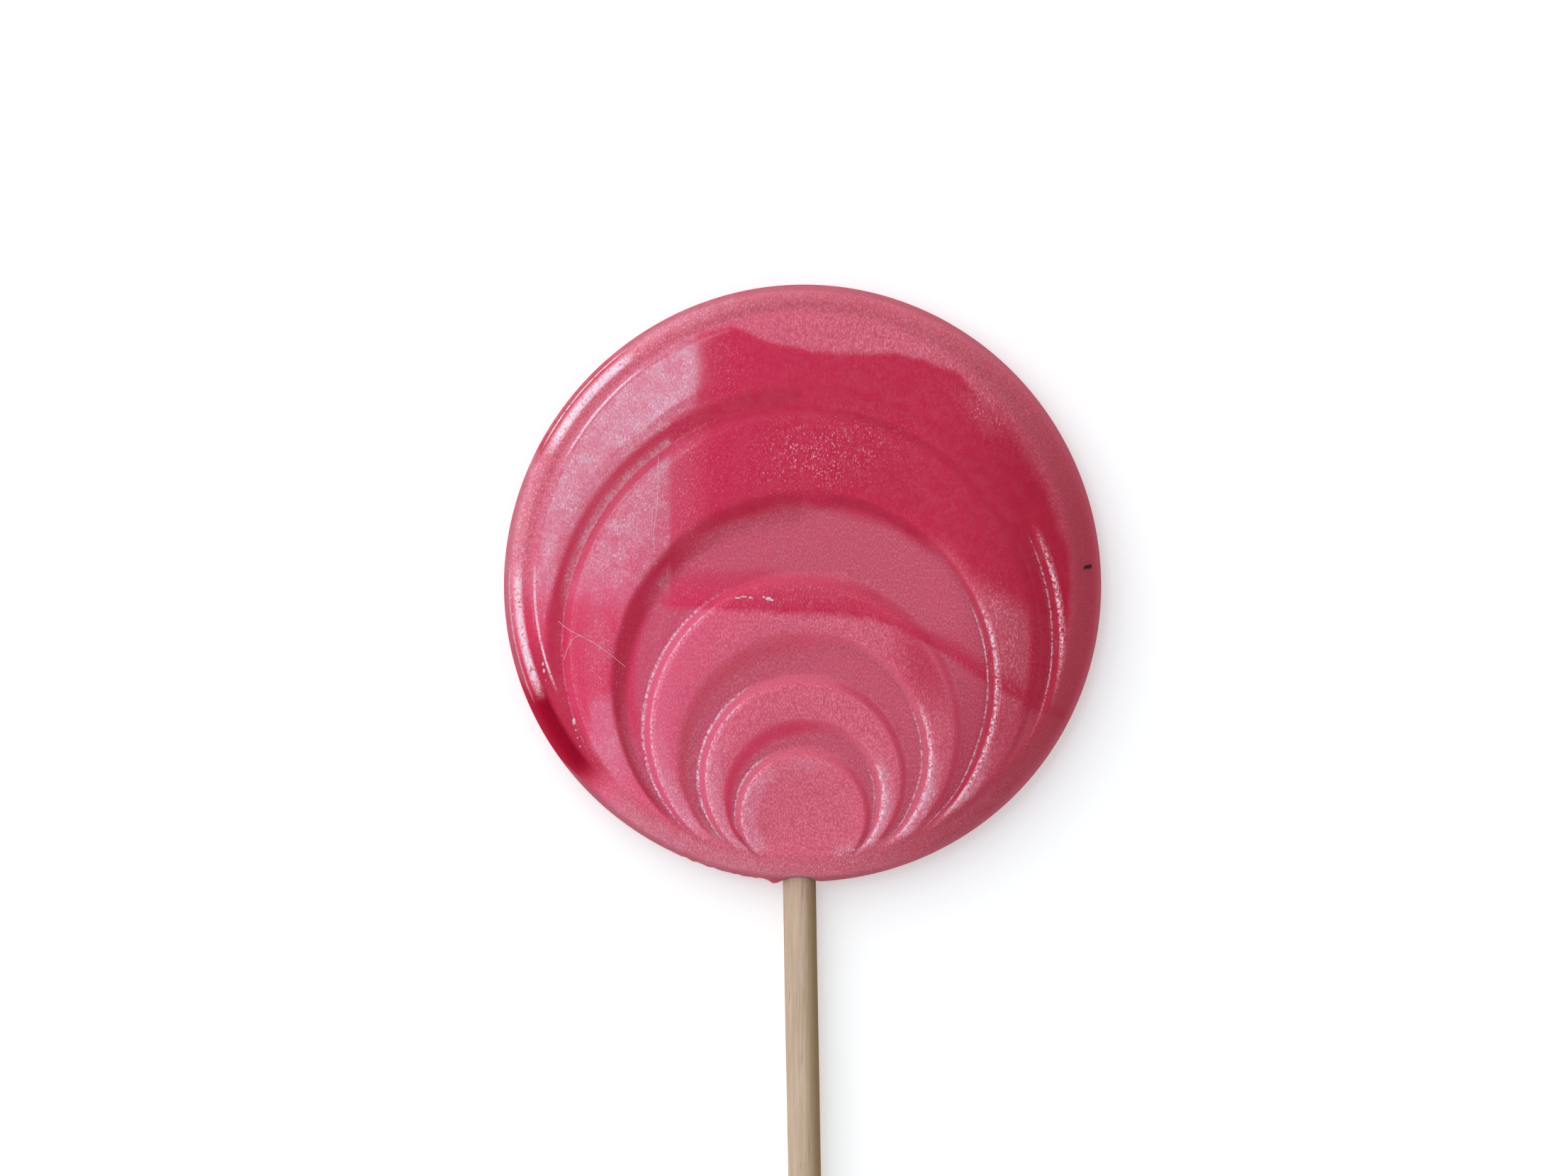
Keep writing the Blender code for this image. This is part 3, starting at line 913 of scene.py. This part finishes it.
def makeDetailMaterial(name):
    first, second, roughness, coat = detailLook[name]
    material, tree, shader = newMaterial(name)
    mottle = noiseTexture(tree, (addNode(tree, "ShaderNodeTexCoord", {}), "Object"), 0.3, 2.0)
    plug(tree, shader, {
        "Base Color": mixColours(tree, rescale(tree, mottle, 0.35, 0.65, 0.0, 1.0), first, second),
        "Roughness": roughness,
        "Specular IOR Level": 0.0,
        "Coat Weight": coat,
        "Coat IOR": sugarLook["coatIor"],
        "Coat Roughness": 0.08,
    })
    return material


# the wooden stick

stick = {
    "radius": 1.95,
    "length": 115.0,
    "innerEnd": -5.0,
    "inCandy": 30.0,            # how much of it is in the candy
    "height": 3.7,
    "offset": -0.42,
    "lean": 1.05,               # degrees
    "chamfer": 0.35,
    "sides": 72,
    "rings": 230,
    "wobble": 0.035,
    "grooves": 0.018,           # fine fibres along the wood
}


def makeStickMesh():
    length, radius, chamfer = stick["length"], stick["radius"], stick["chamfer"]
    sides, rings = stick["sides"], stick["rings"]
    stations = [(0.0, 0.02), (0.0, radius - chamfer), (0.1, radius - 0.55 * chamfer), (chamfer, radius)]
    inner = [(chamfer + (length - 2 * chamfer) * step / rings, radius) for step in range(1, rings)]
    stations += inner + [(length - along, size) for along, size in reversed(stations)]
    lean = radians(stick["lean"])
    verts, rightShade = [], []
    for along, size in stations:
        for step in range(sides):
            turn = 2.0 * pi * step / sides
            around = Vector((cos(turn), sin(turn), 0.0))
            slow = noise.noise(around * 0.8 + Vector((0.0, 0.0, along / 18.0)))
            fibre = noise.noise(around * 7.0 + Vector((3.0, 1.0, along / 14.0)))
            uneven = stick["wobble"] * (slow - 0.6) + stick["grooves"] * (fibre - 0.4)
            surface = size + uneven * size / radius
            across, up = surface * cos(turn), surface * sin(turn)
            x = stick["offset"] + (along - stick["inCandy"]) * sin(lean) + across * cos(lean)
            y = stick["innerEnd"] - along * cos(lean) + across * sin(lean)
            verts.append((x * mm, y * mm, (stick["height"] + up) * mm))
            # the side facing the right is painted darker, as shade
            rightShade.append(float(softStep(-0.05, 0.95, cos(turn))))
    mesh = tubeMesh("wood_stick", verts, ringFaces(0, len(stations), sides))
    mesh.attributes.new("rightShadeShare", "FLOAT", "POINT").data.foreach_set("value", rightShade)
    return mesh


woodLook = {
    "light": (0.66, 0.50, 0.38),
    "dark": (0.52, 0.37, 0.26),
    "pore": (0.20, 0.12, 0.07),
    "shaded": (0.30, 0.195, 0.105),     # painted shade on the right side
    "roughness": 0.62,
    "specular": 0.0,
    "grainWidth": 0.35,
    "grainStretch": 26.0,
    "grainHeight": 0.05,
    "poreSize": 0.16,
}


def makeWood():
    look = woodLook
    material, tree, shader = newMaterial("pale_wood")
    place = (addNode(tree, "ShaderNodeTexCoord", {}), "Object")
    place = stretched(tree, place, 1.0 / look["grainStretch"])
    grain = noiseTexture(tree, place, look["grainWidth"], 4.0, roughness=0.65)
    pores = noiseTexture(tree, place, look["poreSize"], 1.0, roughness=0.5)
    colour = mixColours(tree, rescale(tree, grain, 0.35, 0.70, 0.0, 1.0), look["light"], look["dark"])
    colour = mixColours(tree, rescale(tree, pores, 0.68, 0.78, 0.0, 0.75), colour, look["pore"])
    plug(tree, shader, {
        "Base Color": mixColours(tree, attribute(tree, "rightShadeShare"), colour, look["shaded"]),
        "Roughness": look["roughness"],
        "Specular IOR Level": look["specular"],
        "Normal": bump(tree, grain, look["grainHeight"], 0.6),
    })
    return material


candyMesh, candyX, candyY, candyZ = makeCandyMesh()
paintMarbling(candyMesh, candyX, candyY, candyZ)
sugar = makeSugar()
sugarDisc = addPiece("sugar_disc", candyMesh, sugar)
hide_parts("candy_disc")
print("sugar disc made:", len(candyMesh.polygons), "faces")

addPiece("sugar_beads", makeDots("sugar_beads", details["beads"]), makeDetailMaterial("clear_bead"))
fibres = [details["fibre"], details["secondFibre"], details["scratch"], details["secondScratch"]]
addPiece("fine_fibres", makeFibres("fine_fibres", fibres), makeDetailMaterial("pale_fibre"))
addPiece("dark_speck", makeDots("dark_speck", details["speck"]), makeDetailMaterial("burnt_speck"))
print("small details made")

woodStick = addPiece("wood_stick", makeStickMesh(), makeWood())
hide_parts("stick")
print("stick made")


# floor, light and camera

studio = {
    # lengths and places are metres
    "floorSize": 1.6,
    "floorColour": (0.90, 0.90, 0.90),
    "floorGlow": 0.28,
    "floorGap": 0.00005,        # below the candy's back
    "worldStrength": 0.50,
    # the sheen's straight edge is this window's right side, mirrored in the flat sugar
    "windowAbove": {
        "place": (-0.094, 0.093, 0.600), "target": None, "size": (0.14, 0.14), "power": 0.32,
        "colour": (0.55, 0.84, 1.0),
    },
    "windowLeft": {
        "place": (-0.436, 0.03, 0.400), "target": (0.0, 0.0, 0.0), "size": (1.0, 0.13), "power": 3.0,
        "colour": (1.0, 1.0, 1.0),
    },
    "softAbove": {
        "place": (-0.45, 0.40, 0.75), "target": (0.0, 0.0, 0.0), "size": (1.0, 1.0), "power": 5.0,
        "colour": (1.0, 1.0, 1.0),
    },
    "fadeStrips": 7,            # below the upper window its light fades out in strips
    "fadeDepth": 0.014,
    "fadeEnd": 0.10,            # share of its brightness left in the last strip
}

photoView = {
    "width": 183.6,             # millimetres across the photo's frame at the disc
    "middle": (-2.21, -0.49),   # what lies at the middle of the photo
    "distance": 0.50,           # metres above the disc
    "sensor": 36.0,
}


def makeFloor():
    half = studio["floorSize"] / 2.0
    corners = [(-half, -half, 0.0), (half, -half, 0.0), (half, half, 0.0), (-half, half, 0.0)]
    mesh = bpy.data.meshes.new("pale_floor")
    mesh.from_pydata(corners, [], [(0, 1, 2, 3)])
    floor = bpy.data.objects.new("pale_floor", mesh)
    bpy.context.scene.collection.objects.link(floor)
    material, tree, shader = newMaterial("pale_floor")
    plug(tree, shader, {
        "Base Color": (*studio["floorColour"], 1.0),
        "Roughness": 0.9,
        "Emission Color": (1.0, 1.0, 1.0, 1.0),
        "Emission Strength": studio["floorGlow"],
    })
    mesh.materials.append(material)
    floor.location.z = -studio["floorGap"]


def makePanel(name, place, target, size, power, colour):
    light = bpy.data.lights.new(name, "AREA")
    light.shape = "RECTANGLE"
    light.size, light.size_y = size
    light.energy = power
    light.color = colour
    panel = bpy.data.objects.new(name, light)
    panel.location = place
    if target is not None:
        panel.rotation_euler = (Vector(target) - Vector(place)).to_track_quat("-Z", "Y").to_euler()
    bpy.context.scene.collection.objects.link(panel)
    return panel


def makeStudio():
    world = bpy.data.worlds.new("soft_room")
    bpy.context.scene.world = world
    world.use_nodes = True
    background = world.node_tree.nodes["Background"]
    background.inputs["Color"].default_value = (1.0, 1.0, 1.0, 1.0)
    background.inputs["Strength"].default_value = studio["worldStrength"]
    world.cycles_visibility.glossy = False              # only the windows show in the shine
    makePanel("windowAbove", **studio["windowAbove"])
    makePanel("windowLeft", **studio["windowLeft"]).visible_diffuse = False
    makePanel("softAbove", **studio["softAbove"]).visible_glossy = False
    window = studio["windowAbove"]
    width, depth = window["size"]
    low = window["place"][1] - depth / 2.0
    for step in range(studio["fadeStrips"]):
        share = 1.0 - (1.0 - studio["fadeEnd"]) * (step + 1) / studio["fadeStrips"]
        strip = studio["fadeDepth"] * (8.0 if step == studio["fadeStrips"] - 1 else 1.0)
        power = window["power"] * share * strip / depth
        place = (window["place"][0], low - strip / 2.0, window["place"][2])
        makePanel("windowFade", place, None, (width, strip), power, window["colour"])
        low -= strip


def makeCamera():
    camera = bpy.data.cameras.new("camera")
    camera.sensor_width = photoView["sensor"]
    camera.lens = photoView["sensor"] * photoView["distance"] / (photoView["width"] * mm)
    camera.clip_start, camera.clip_end = 0.01, 10.0
    eye = bpy.data.objects.new("camera", camera)
    eye.location = (photoView["middle"][0] * mm, photoView["middle"][1] * mm,
                    photoView["distance"] + candy["thickness"] / 2.0 * mm)
    bpy.context.scene.collection.objects.link(eye)
    bpy.context.scene.camera = eye


makeFloor()
makeStudio()
makeCamera()
bpy.context.scene.view_settings.view_transform = "Standard"
print("studio made")
